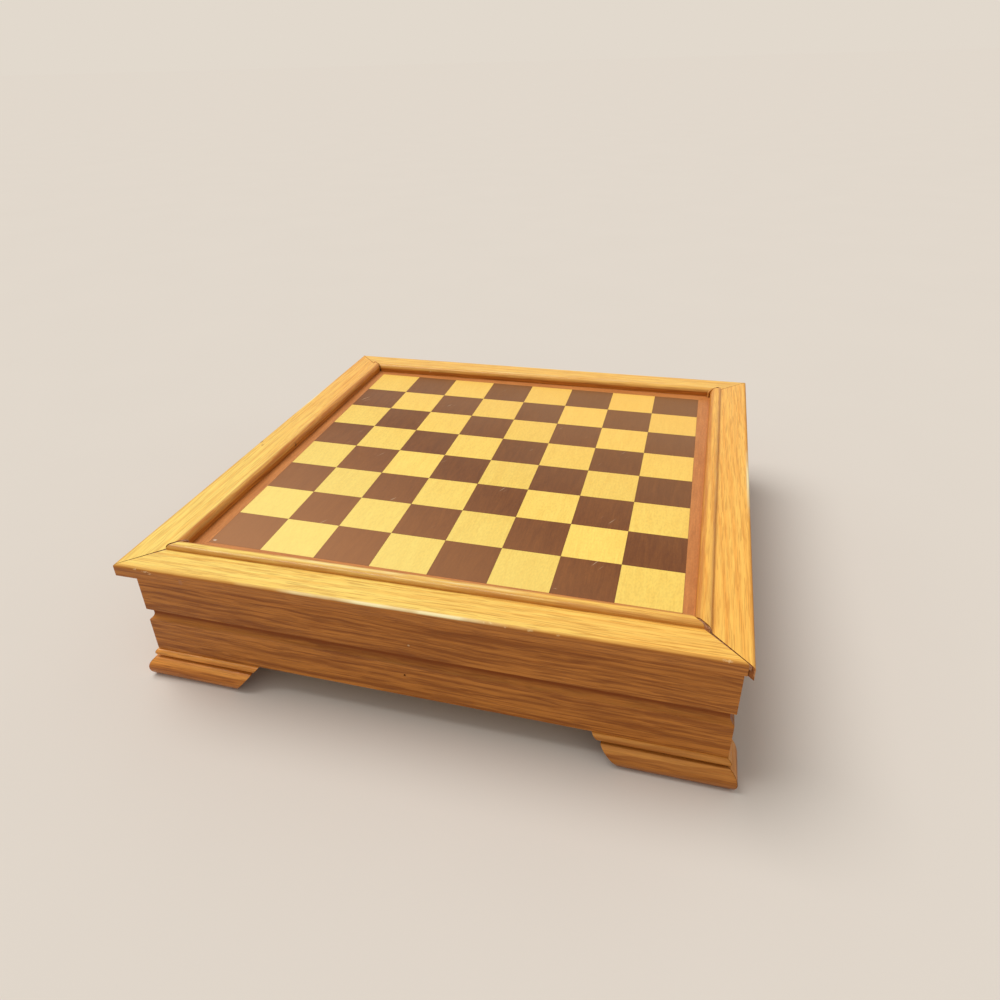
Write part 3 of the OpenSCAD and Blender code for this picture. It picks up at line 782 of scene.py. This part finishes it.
def footing(settings, name, turn, light):
    """A foot's oak. light above 1 makes the piece paler, and below 1 darker."""
    own = {tone: [min(value * light, 1.0) for value in getattr(settings, source)]
           for tone, source in (("top", "foot"), ("top_early", "foot_early"),
                                ("edge", "edge"), ("edge_early", "edge_early"))}
    return oak(name, turn, oak_tones(settings, **own), pith=MOULDING_PITH, ring=settings.ring,
               wander=2.5 * MM, pores=(settings.pore_width, settings.pore_length), stain=0.5,
               streaks=0.7, rings=0.5, gloss=0.2, quirk=(QUIRK_LOW, QUIRK_HIGH))


def panelling(settings, name, turn):
    """A panel's oak: a wide board, with wider rings and longer pores."""
    tones = oak_tones(settings, top=settings.edge, top_early=settings.edge_early)
    return oak(name, turn, tones, pith=PANEL_PITH, ring=settings.ring * 1.2, wander=4 * MM,
               pores=(settings.pore_width, settings.pore_length * 1.2), stain=0.5, streaks=0.9,
               rings=0.5, gloss=0.05, groove=(GROOVE_LOW, GROOVE_HIGH, GROOVE_DEEP))


def outer_face(name):
    """The outward face of a rail that stands furthest out: its normal, and its distance."""
    upright = [face for face in NODES[name].data.polygons
               if abs(face.normal.z) < 0.01 and face.area > 1e-5]
    face = max(upright, key=lambda face: face.normal.dot(face.center))
    return tuple(face.normal), face.normal.dot(face.center)


# ---- Operators ---------------------------------------------------------------


class CHESSBOX_OT_rails(bpy.types.Operator):
    """Finishes the four beaded rails of the frame"""

    bl_idname = "chess_box.rails"
    bl_label = "Frame rails"

    def execute(self, context):
        settings = context.scene.chess_box_oak
        # Each rail is from a board of its own, and the back one is the yellowest
        for side, turn, warm in (("front", ALONG_X, 1.0), ("back", ALONG_X, 1.1),
                                 ("left", ALONG_Y, 1.0), ("right", ALONG_Y, 0.98)):
            railing(settings, side, turn, warm)
        return {"FINISHED"}


# For each corner, anticlockwise from the front left: how far its mitre is shifted, because the
# right rail stands past the front one, and how far its glue has sunk
MITRE_GLUE = (
    (0, 0.2 * MM),
    (-PROUD_END / math.sqrt(2), 0.35 * MM),
    (0, 0.03 * MM),
    (0, 0.03 * MM),
)


class CHESSBOX_OT_glue(bpy.types.Operator):
    """Fills the opened mitres of the frame with old glue and dust"""

    bl_idname = "chess_box.glue"
    bl_label = "Glue in the mitres"

    def execute(self, context):
        mesh = bmesh.new()
        for turn, (shift, sunk) in enumerate(MITRE_GLUE):
            glue_line(mesh, turn, shift, sunk)
        data = bpy.data.meshes.new("mitre_glue")
        mesh.to_mesh(data)
        mesh.free()
        glue = bpy.data.objects.new("mitre_glue", data)
        context.scene.collection.objects.link(glue)
        data.materials.append(old_glue("Hide glue, old and dusty", "#7C4A20", "#C08A62"))
        data.materials.append(old_glue("Hide glue, lacquered over", "#B87428", "#DCA048"))
        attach(glue, "case")
        return {"FINISHED"}


def glue_line(mesh, turn, shift, sunk):
    """One corner's glue: a wedge, thickest at the board, that has sunk a little below the wood."""
    steps = 60
    # It stops short of both ends, is 2.6 mm deep, and has shrunk away from both rails
    first, last = OPENING + 2 * max(sunk, FLUSH), FRAME_OUT - 3.2 * MM
    low = FLAT_TOP - 2.6 * MM
    shrunk = 0.03 * MM
    along = Vector((-1, -1, 0)) / math.sqrt(2)
    across = Vector((1, -1, 0)) / math.sqrt(2)
    spin = Matrix.Rotation(turn * math.pi / 2, 4, "Z")
    rows = []
    for step in range(steps + 1):
        out = first + (last - first) * step / steps
        gap = MITRE_SHUT + MITRE_OPEN * (FRAME_OUT - out) / (FRAME_OUT - OPENING)
        half = gap / 2 - shrunk
        # The corner's far point and the glue's middle lie half a gap from the diagonal
        middle = along * (out * math.sqrt(2) - half) + across * shift
        top = (BEAD_TOP if out < BEAD_OUT else FLAT_TOP) - sunk
        for edge, radius in ((out - OPENING, BEAD_IN_R), (BEAD_OUT - out, BEAD_OUT_R)):
            if 0 <= edge < radius:
                top -= radius - math.sqrt(radius ** 2 - (radius - edge) ** 2)
        top -= abs(noise.noise(Vector((out * 900, turn * 7.0, 0.5)))) * sunk
        rows.append([mesh.verts.new(spin @ (middle + across * side * half + Vector((0, 0, z))))
                     for side, z in ((-1, low), (1, low), (1, top), (-1, top))])
    for near, far in zip(rows, rows[1:]):
        for k in range(4):
            mesh.faces.new([near[k], near[(k + 1) % 4], far[(k + 1) % 4], far[k]])
    mesh.faces.new(rows[0][::-1])
    mesh.faces.new(rows[-1])
    for face in mesh.faces[-4 * steps - 2:]:
        face.material_index = sunk < FLUSH
    bmesh.ops.recalc_face_normals(mesh, faces=mesh.faces)


class CHESSBOX_OT_board(bpy.types.Operator):
    """Finishes the veneers and the core of the chessboard"""

    bl_idname = "chess_box.board"
    bl_label = "Chessboard"

    def execute(self, context):
        board = context.scene.chess_box_board
        inside = context.scene.chess_box_inside
        # Maple: pale, close-grained and faintly flecked. Old lacquer has turned it yellow
        # Each veneer's tone at the front left corner is painted glare
        dress(veneer("Maple veneer, yellowed lacquer", ALONG_Y, board.light,
                     streak=linear("#F0C254"), depth=0.55, glare_tone=linear("#FBE98E"),
                     back=linear("#FBC05A")), "light_squares")
        # Walnut: brown with darker streaks
        dress(veneer("Walnut veneer, lacquered", ALONG_Y, board.dark, streak=linear("#653512"),
                     depth=0.7, glare_tone=linear("#C08656"), back=linear("#94663A"),
                     marks=BOARD_MARKS), "dark_squares")
        # Cherry: red-brown, and even
        for name, turn, ends in (("", ALONG_X, ("front", "back")),
                                 (", side", ALONG_Y, ("left", "right"))):
            dress(veneer(f"Cherry veneer, lacquered{name}", turn, board.border,
                         streak=linear("#A8632F"), depth=0.6),
                  *(f"border_{end}" for end in ends))
        dress(bare_wood("Birch plywood core", ALONG_X, inside.ply, *CORE_PLYWOOD), "board_core")
        return {"FINISHED"}


class CHESSBOX_OT_case(bpy.types.Operator):
    """Finishes the panels, the floor and the framing of the case"""

    bl_idname = "chess_box.case"
    bl_label = "Case"

    def execute(self, context):
        settings = context.scene.chess_box_oak
        inside = context.scene.chess_box_inside
        dress(panelling(settings, "Red oak, satin lacquer, panel", ALONG_X),
              "front_panel", "back_panel")
        dress(bare_wood("Birch plywood, sanded", ALONG_X, inside.ply, *PLYWOOD), "case_floor")
        dress(bare_wood("Pine, planed", ALONG_Y, inside.pine, *PLANED_PINE),
              "centre_partition", "stretcher_left", "stretcher_right")
        dress(bare_wood("Pine, planed, cleat", ALONG_X, inside.pine, *PLANED_PINE),
              *(f"cleat_{corner}" for corner in CORNERS))
        return {"FINISHED"}


class CHESSBOX_OT_feet(bpy.types.Operator):
    """Finishes the moulded bracket feet and the blocks behind them"""

    bl_idname = "chess_box.feet"
    bl_label = "Feet"

    def execute(self, context):
        settings = context.scene.chess_box_oak
        inside = context.scene.chess_box_inside
        # Painted light: the left feet are painted paler and the right ones darker, as if lit from
        # the left
        for hand, light in (("left", 1.25), ("right", 0.92)):
            for part, turn, paler in (("foot", ALONG_X, 1.0), ("return", ALONG_Y, 1.1)):
                dress(footing(settings, f"Red oak, gloss lacquer, {hand} {part}", turn,
                              light * paler), f"{part}_front_{hand}", f"{part}_back_{hand}")
        dress(bare_wood("Pine, sawn, corner block", ALONG_Y, inside.pine, *SAWN_PINE),
              *(f"block_{corner}" for corner in CORNERS))
        return {"FINISHED"}


class CHESSBOX_OT_drawers(bpy.types.Operator):
    """Finishes the fronts and the boxes of both drawers"""

    bl_idname = "chess_box.drawers"
    bl_label = "Drawers"

    def execute(self, context):
        settings = context.scene.chess_box_oak
        inside = context.scene.chess_box_inside
        for material, parts in (
            (panelling(settings, "Red oak, satin lacquer, drawer front", ALONG_Y), ("front",)),
            (bare_wood("Pine, planed, drawer side", ALONG_X, inside.pine, *PLANED_PINE),
             ("side_front", "side_back", "divider")),
            (bare_wood("Pine, planed, drawer back", ALONG_Y, inside.pine, *PLANED_PINE),
             ("back",)),
            (bare_wood("Birch plywood, drawer bottom", ALONG_Y, inside.ply, *PLYWOOD),
             ("bottom",)),
        ):
            dress(material, *(f"{hand}_drawer_{part}" for hand in HANDS for part in parts))
        return {"FINISHED"}


class CHESSBOX_OT_lining(bpy.types.Operator):
    """Lays a piece of felt in each compartment"""

    bl_idname = "chess_box.lining"
    bl_label = "Felt lining"

    def execute(self, context):
        inside = context.scene.chess_box_inside
        felt = wool_felt(inside.felt)
        gap = 0.5 * MM
        for hand in HANDS:
            low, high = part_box(f"{hand}_drawer_felt")
            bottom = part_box(f"{hand}_drawer_bottom")[1].z
            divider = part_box(f"{hand}_drawer_divider")[1].y
            for end, near, far in (("front", low.y, -divider - gap),
                                   ("back", divider + gap, high.y)):
                sheet = felt_sheet(f"{hand}_felt_{end}", (low.x, near), (high.x, far), bottom,
                                   high.z - low.z, inside.felt_step, inside.felt_waves)
                sheet.data.materials.append(felt)
                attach(sheet, f"{hand}_drawer")
                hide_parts(f"{hand}_drawer_felt")
        return {"FINISHED"}


def felt_sheet(name, low, high, bottom, thick, step, waves):
    """A closed sheet, flat below. Its top rises and falls a little, and rolls off at its edges."""
    wide = [max(2, round((high[k] - low[k]) / step)) for k in (0, 1)]
    mesh = bmesh.new()
    layers = []
    for top in (False, True):
        rows = []
        for i in range(wide[0] + 1):
            row = []
            for j in range(wide[1] + 1):
                x = low[0] + (high[0] - low[0]) * i / wide[0]
                y = low[1] + (high[1] - low[1]) * j / wide[1]
                z = bottom
                if top:
                    # The cut edge is thin, the waves are 22 mm long, and the nap is 2.5 mm
                    edge = min(i, wide[0] - i, j, wide[1] - j)
                    roll = (0.62, 0.9, 1.0)[min(edge, 2)]
                    swell = noise.noise(Vector((x, y, 0.3)) * 45) * waves
                    nap = noise.noise(Vector((x, y, 1.7)) * 400) * 0.06 * MM
                    z += thick * roll + (swell + nap) * (edge > 0)
                row.append(mesh.verts.new((x, y, z)))
            rows.append(row)
        layers.append(rows)
    for top, rows in enumerate(layers):
        for i in range(wide[0]):
            for j in range(wide[1]):
                corners = [rows[i][j], rows[i + 1][j], rows[i + 1][j + 1], rows[i][j + 1]]
                mesh.faces.new(corners if top else corners[::-1])
    lower, upper = layers
    last, end = wide
    rim = [(i, 0) for i in range(last)] + [(last, j) for j in range(end)]
    rim += [(i, end) for i in range(last, 0, -1)] + [(0, j) for j in range(end, 0, -1)]
    for (i, j), (k, m) in zip(rim, rim[1:] + rim[:1]):
        mesh.faces.new([lower[i][j], lower[k][m], upper[k][m], upper[i][j]])
    for face in mesh.faces:
        face.smooth = True
    data = bpy.data.meshes.new(name)
    mesh.to_mesh(data)
    mesh.free()
    made = bpy.data.objects.new(name, data)
    bpy.context.scene.collection.objects.link(made)
    return made


class CHESSBOX_OT_pins(bpy.types.Operator):
    """Finishes the pins, and stops their holes with wax"""

    bl_idname = "chess_box.pins"
    bl_label = "Pins"

    def execute(self, context):
        dress(drawn_steel(), "frame_pins", "case_pins", "left_drawer_pins", "right_drawer_pins")
        dots = plugs("wax_plugs", wax_filler(), plug_places())
        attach(dots, "case")
        return {"FINISHED"}


def plug_places():
    """Where each plug sits, and the way that its face looks: over the outer end of each pin."""
    places = []
    for node, axis in (("case_pins", 1), ("frame_pins", 0)):
        for low, high in islands(NODES[node]):
            place = (low + high) / 2
            side = -1 if place[axis] < 0 else 1
            # The front's lower pin has lost its wax
            if node == "case_pins" and side < 0 and place.z < GROOVE_LOW:
                continue
            place[axis] = (low if side < 0 else high)[axis] + side * PIN_SET
            way = Vector((0, 0, 0))
            way[axis] = side
            places.append((place, way))
    return places


def islands(node):
    """The lowest and highest corners of each separate solid in a CAD node."""
    mesh = bmesh.new()
    mesh.from_mesh(node.data)
    bmesh.ops.remove_doubles(mesh, verts=mesh.verts, dist=1e-6)
    left, found = set(mesh.verts), []
    while left:
        stack, solid = [left.pop()], []
        while stack:
            vertex = stack.pop()
            solid.append(vertex.co.copy())
            for edge in vertex.link_edges:
                other = edge.other_vert(vertex)
                if other in left:
                    left.remove(other)
                    stack.append(other)
        low = Vector([min(p[k] for p in solid) for k in range(3)])
        high = Vector([max(p[k] for p in solid) for k in range(3)])
        found.append((low, high))
    mesh.free()
    return sorted(found, key=lambda pair: tuple(pair[0]))


def plugs(name, material, places):
    """Geometry Nodes put one plug in each hole, its face a little below the wood."""
    data = bpy.data.meshes.new(name)
    data.from_pydata([tuple(place) for place, _ in places], [], [])
    out = data.attributes.new("out", "FLOAT_VECTOR", "POINT")
    out.data.foreach_set("vector", [v for _, way in places for v in way])
    made = bpy.data.objects.new(name, data)
    bpy.context.scene.collection.objects.link(made)

    tree = bpy.data.node_groups.new("Wax plugs", "GeometryNodeTree")
    tree.interface.new_socket("Geometry", in_out="INPUT", socket_type="NodeSocketGeometry")
    for label, default in (("Diameter", 1.16 * MM), ("Depth", 0.9 * MM), ("Hollow", 0.12 * MM)):
        socket = tree.interface.new_socket(label, in_out="INPUT", socket_type="NodeSocketFloat")
        socket.default_value = default
    tree.interface.new_socket("Geometry", in_out="OUTPUT", socket_type="NodeSocketGeometry")
    given = add(tree, "NodeGroupInput").outputs
    radius = add(tree, "Math", given["Diameter"], 0.5, operation="MULTIPLY")
    stub = add(tree, "GeometryNodeMeshCylinder", fill_type="TRIANGLE_FAN",
               named={"Vertices": 16, "Radius": radius, "Depth": given["Depth"]})
    sunk = add(tree, "Math", given["Depth"], -0.5, operation="MULTIPLY")
    down = add(tree, "Math", sunk, given["Hollow"], operation="SUBTRACT")
    shift = add(tree, "CombineXYZ", named={"Z": down})
    seated = add(tree, "GeometryNodeTransform", named={"Geometry": stub, "Translation": shift})
    way = add(tree, "GeometryNodeInputNamedAttribute", "out", data_type="FLOAT_VECTOR")
    turn = add(tree, "FunctionNodeAlignRotationToVector", named={"Vector": way}, axis="Z")
    copies = add(tree, "GeometryNodeInstanceOnPoints",
                 named={"Points": given["Geometry"], "Instance": seated, "Rotation": turn})
    real = add(tree, "GeometryNodeRealizeInstances", copies)
    finished = add(tree, "GeometryNodeSetMaterial", named={"Geometry": real, "Material": material})
    add(tree, "NodeGroupOutput", finished)

    modifier = made.modifiers.new("Plugs", "NODES")
    modifier.node_group = tree
    bpy.context.view_layer.update()
    graph = bpy.context.evaluated_depsgraph_get()
    plain = bpy.data.meshes.new_from_object(made.evaluated_get(graph))
    made.modifiers.clear()
    made.data = plain
    return made


class CHESSBOX_OT_stage(bpy.types.Operator):
    """Lays the floor, hangs the lamp, lights the room and sets the camera"""

    bl_idname = "chess_box.stage"
    bl_label = "Stage"

    def execute(self, context):
        stage = context.scene.chess_box_stage
        scene = context.scene

        mesh = bmesh.new()
        bmesh.ops.create_grid(mesh, x_segments=1, y_segments=1, size=40)
        data = bpy.data.meshes.new("floor")
        mesh.to_mesh(data)
        mesh.free()
        floor = bpy.data.objects.new("floor", data)
        scene.collection.objects.link(floor)
        material, tree = new_material("Matt vinyl floor")
        place = add(tree, "TexCoord").outputs["Object"]
        # The vinyl's tone wanders very slightly, in patches of 110 mm
        mottle = noised(tree, place, (9.0, 9.0, 9.0), 3.0)
        mottle = add(tree, "MapRange", mottle, 0.3, 0.7, 0.995, 1.005)
        toned = add(tree, "VectorMath", stage.floor[:3], mottle, operation="SCALE")
        shader = add(tree, "BsdfPrincipled",
                     named={"Base Color": toned, "Roughness": 0.7, "Specular IOR Level": 0.0})
        add(tree, "OutputMaterial", shader)
        data.materials.append(material)

        lamp = bpy.data.lights.new("key", "SUN")
        lamp.energy = stage.key
        lamp.angle = stage.key_angle
        key = bpy.data.objects.new("key", lamp)
        key.location = stage.key_place
        key.rotation_euler = (-Vector(stage.key_place)).to_track_quat("-Z", "Y").to_euler()
        scene.collection.objects.link(key)

        # The camera and the reflections see a plain backdrop, and a warmer room lights the box
        world = bpy.data.worlds.new("room")
        world.use_nodes = True
        tree = world.node_tree
        tree.nodes.clear()
        path = add(tree, "LightPath").outputs
        seen = path["Is Camera Ray"]
        for ray in ("Is Glossy Ray", "Is Transmission Ray"):
            seen = add(tree, "Math", seen, path[ray], operation="MAXIMUM")
        shown = add(tree, "Background", opaque(stage.backdrop), 1.0)
        lit = add(tree, "Background", (1.0, 0.97, 0.93, 1.0), stage.ambient)
        add(tree, "OutputWorld", add(tree, "MixShader", seen, lit, shown))
        scene.world = world

        eye = bpy.data.cameras.new("camera")
        eye.sensor_width = 36
        eye.lens = stage.lens
        eye.shift_x, eye.shift_y = stage.shift
        eye.clip_start, eye.clip_end = 0.01, 50
        camera = bpy.data.objects.new("camera", eye)
        camera.location = stage.camera_place
        camera.rotation_euler = stage.camera_turn
        scene.collection.objects.link(camera)
        scene.camera = camera
        scene.view_settings.view_transform = "Standard"
        return {"FINISHED"}


class CHESSBOX_PT_panel(bpy.types.Panel):
    """Lists the pieces of the chess box and their settings"""

    bl_idname = "CHESSBOX_PT_panel"
    bl_label = "Chess Box"
    bl_space_type = "VIEW_3D"
    bl_region_type = "UI"
    bl_category = "Chess Box"

    def draw(self, context):
        for operator in OPERATORS:
            self.layout.operator(operator.bl_idname)
        for key, group in SETTINGS:
            box = self.layout.box()
            box.label(text=group.__doc__)
            for name in group.__annotations__:
                box.prop(getattr(context.scene, key), name)


OPERATORS = (
    CHESSBOX_OT_rails,
    CHESSBOX_OT_glue,
    CHESSBOX_OT_board,
    CHESSBOX_OT_case,
    CHESSBOX_OT_feet,
    CHESSBOX_OT_drawers,
    CHESSBOX_OT_lining,
    CHESSBOX_OT_pins,
    CHESSBOX_OT_stage,
)
SETTINGS = (
    ("chess_box_oak", ChessBoxOak),
    ("chess_box_board", ChessBoxBoard),
    ("chess_box_inside", ChessBoxInside),
    ("chess_box_stage", ChessBoxStage),
)


def register():
    for key, group in SETTINGS:
        bpy.utils.register_class(group)
        setattr(bpy.types.Scene, key, PointerProperty(type=group))
    for operator in OPERATORS:
        bpy.utils.register_class(operator)
    bpy.utils.register_class(CHESSBOX_PT_panel)


def unregister():
    bpy.utils.unregister_class(CHESSBOX_PT_panel)
    for operator in reversed(OPERATORS):
        bpy.utils.unregister_class(operator)
    for key, group in reversed(SETTINGS):
        delattr(bpy.types.Scene, key)
        bpy.utils.unregister_class(group)


def main():
    register()
    bpy.ops.chess_box.rails()
    bpy.ops.chess_box.glue()
    bpy.ops.chess_box.board()
    bpy.ops.chess_box.case()
    bpy.ops.chess_box.feet()
    bpy.ops.chess_box.drawers()
    bpy.ops.chess_box.lining()
    bpy.ops.chess_box.pins()
    bpy.ops.chess_box.stage()


if __name__ == "__main__":
    main()
